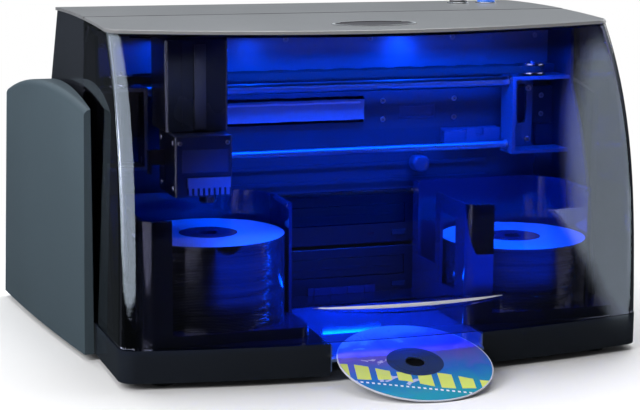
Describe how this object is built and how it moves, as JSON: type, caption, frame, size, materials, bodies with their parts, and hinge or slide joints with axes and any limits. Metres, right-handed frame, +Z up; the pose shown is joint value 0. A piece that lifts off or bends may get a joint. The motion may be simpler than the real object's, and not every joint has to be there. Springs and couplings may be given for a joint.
{
  "type": "disc label printer",
  "caption": "Desktop disc printer with a tinted hinged cover, a picker on rails, disc bins, optical drives, a print tray and side fairings.",
  "frame": {"origin": "on the table, under the middle of the whole part's bounding box", "axes": "+X to the right seen from the front, +Y to the back, +Z up"},
  "size_m": [0.494, 0.4436, 0.2712],
  "materials": {
    "dark_plastic": "glossy",
    "rubber_black": "matt",
    "smoke_plastic": "glossy",
    "smoke_clear": "clear tinted, glossy",
    "lid_grey": "satin",
    "badge_metal": "satin",
    "steel": "satin",
    "hood_dark": "satin",
    "board_green": "satin",
    "wing_grey": "satin",
    "bin_smoke": "glossy",
    "disc_white": "satin white tops, clear dark edges",
    "disc_print": "glossy print",
    "matt_black": "satin",
    "panel_dark": "satin",
    "frame_steel": "satin",
    "tray_white": "satin",
    "polished_steel": "polished",
    "ink_block": "satin",
    "belt_rubber": "matt",
    "motor_steel": "satin",
    "brass_sleeve": "satin",
    "comb_pale": "satin",
    "screw_steel": "satin",
    "fan_black": "satin",
    "lamp_blue": "lit blue lamps",
    "button_dark": "glossy",
    "button_lit": "lit from inside",
    "tray_black": "satin"
  },
  "bodies": {
    "housing": {"base_pan": "dark_plastic", "rubber_feet": "rubber_black", "deck": "smoke_plastic", "output_chute": "smoke_plastic", "hinge_pins": "steel", "rear_housing": "hood_dark", "rear_top_panel": "lid_grey", "circuit_boards": "board_green", "fairing_right": "wing_grey", "fairing_left": "wing_grey", "bin_left": "bin_smoke", "bin_right": "bin_smoke", "disc_stack_left": "disc_white", "disc_stack_right": "disc_white", "drive_cage": "steel", "drive_bodies": "steel", "drive_bezels": "matt_black", "inner_fascia": "panel_dark", "upper_fascia": "panel_dark", "printer_chassis": "frame_steel", "carriage_guides": "polished_steel", "side_frame_left": "frame_steel", "side_frame_right": "frame_steel", "bracket_left": "frame_steel", "bracket_right": "frame_steel", "picker_rails": "polished_steel", "rail_beam": "frame_steel", "picker_belt": "belt_rubber", "picker_motor": "motor_steel", "rear_panel": "steel", "rear_ports": "matt_black", "panel_screws": "screw_steel", "fan_frame": "fan_black", "led_bars": "lamp_blue", "picker_sensors": "matt_black"},
    "cover": {"front_cover": "smoke_clear", "cover_top_panel": "lid_grey", "badge_plate": "badge_metal"},
    "disc_out": {"output_disc": "disc_print"},
    "tray_low": {"drive_tray_lower": "tray_black"},
    "tray_high": {"drive_tray_upper": "tray_black"},
    "print_tray": {"printer_tray": "tray_white"},
    "print_head": {"print_carriage": "matt_black", "ink_cartridge": "ink_block"},
    "carriage": {"picker_carriage": "matt_black", "rail_bushings": "brass_sleeve", "picker_column": "dark_plastic"},
    "head": {"picker_head": "matt_black", "head_cover": "dark_plastic", "guide_rods": "polished_steel", "sensor_comb": "comb_pale"},
    "lever": {"gripper_lever": "polished_steel"},
    "screw": {"lift_screw": "polished_steel"},
    "pulley_left": {"belt_pulley_left": "steel"},
    "pulley_right": {"belt_pulley_right": "steel"},
    "fan": {"fan_rotor": "fan_black"},
    "power_key": {"power_button": "button_dark"},
    "pause_key": {"pause_button": "button_lit"},
    "eject_low": {"eject_button_lower": "matt_black"},
    "eject_high": {"eject_button_upper": "matt_black"}
  },
  "joints": [
    {"name": "cover_hinge", "type": "hinge", "parent": "housing", "child": "cover", "pos_m": [0, 0.01775, 0.25858], "axis": [-1, 0, 0], "range_deg": [0, 65]},
    {"name": "disc_slide", "type": "slide", "parent": "housing", "child": "disc_out", "axis": [0, -0.9699, -0.2436], "range_m": [-0.05, 0]},
    {"name": "tray_low_slide", "type": "slide", "parent": "housing", "child": "tray_low", "axis": [0, -1, 0], "range_m": [0, 0.14]},
    {"name": "tray_high_slide", "type": "slide", "parent": "housing", "child": "tray_high", "axis": [0, -1, 0], "range_m": [0, 0.14]},
    {"name": "print_tray_slide", "type": "slide", "parent": "housing", "child": "print_tray", "axis": [0, -1, 0], "range_m": [0, 0.138]},
    {"name": "print_head_slide", "type": "slide", "parent": "housing", "child": "print_head", "axis": [1, 0, 0], "range_m": [-0.23, 0.03]},
    {"name": "picker_x_slide", "type": "slide", "parent": "housing", "child": "carriage", "axis": [1, 0, 0], "range_m": [0, 0.26]},
    {"name": "picker_z_slide", "type": "slide", "parent": "carriage", "child": "head", "axis": [0, 0, 1], "range_m": [-0.025, 0]},
    {"name": "lever_hinge", "type": "hinge", "parent": "head", "child": "lever", "pos_m": [-0.13, -0.06225, 0.144], "axis": [1, 0, 0], "range_deg": [-2.5, 4], "stiffness_Nm_per_rad": 0.02},
    {"name": "screw_spin", "type": "hinge", "parent": "carriage", "child": "screw", "pos_m": [-0.139, -0.04525, 0.205], "axis": [0, 0, 1], "range_deg": [-901, 1]},
    {"name": "pulley_left_spin", "type": "hinge", "parent": "housing", "child": "pulley_left", "pos_m": [-0.186, 0.00275, 0.217], "axis": [0, 0, 1], "range_deg": [-1, 1552.76]},
    {"name": "pulley_right_spin", "type": "hinge", "parent": "housing", "child": "pulley_right", "pos_m": [0.172, 0.00275, 0.217], "axis": [0, 0, 1], "range_deg": [-1, 1552.76]},
    {"name": "fan_spin", "type": "hinge", "parent": "housing", "child": "fan", "pos_m": [-0.095, 0.21075, 0.097], "axis": [0, 1, 0], "continuous": true},
    {"name": "power_press", "type": "slide", "parent": "housing", "child": "power_key", "axis": [0, 0, -1], "range_m": [0, 0.0015], "stiffness_N_per_m": 400, "springref_m": -0.0004},
    {"name": "pause_press", "type": "slide", "parent": "housing", "child": "pause_key", "axis": [0, 0, -1], "range_m": [0, 0.0015], "stiffness_N_per_m": 400, "springref_m": -0.0004},
    {"name": "eject_low_press", "type": "slide", "parent": "housing", "child": "eject_low", "axis": [0, 1, 0], "range_m": [0, 0.001], "stiffness_N_per_m": 300, "springref_m": -0.0004},
    {"name": "eject_high_press", "type": "slide", "parent": "housing", "child": "eject_high", "axis": [0, 1, 0], "range_m": [0, 0.001], "stiffness_N_per_m": 300, "springref_m": -0.0004}
  ],
  "couplings": [
    {"joint": "pulley_left_spin", "follows": "picker_x_slide", "rad_per_m": 104.17},
    {"joint": "pulley_right_spin", "follows": "picker_x_slide", "rad_per_m": 104.17},
    {"joint": "screw_spin", "follows": "picker_z_slide", "rad_per_m": 628.32}
  ]
}
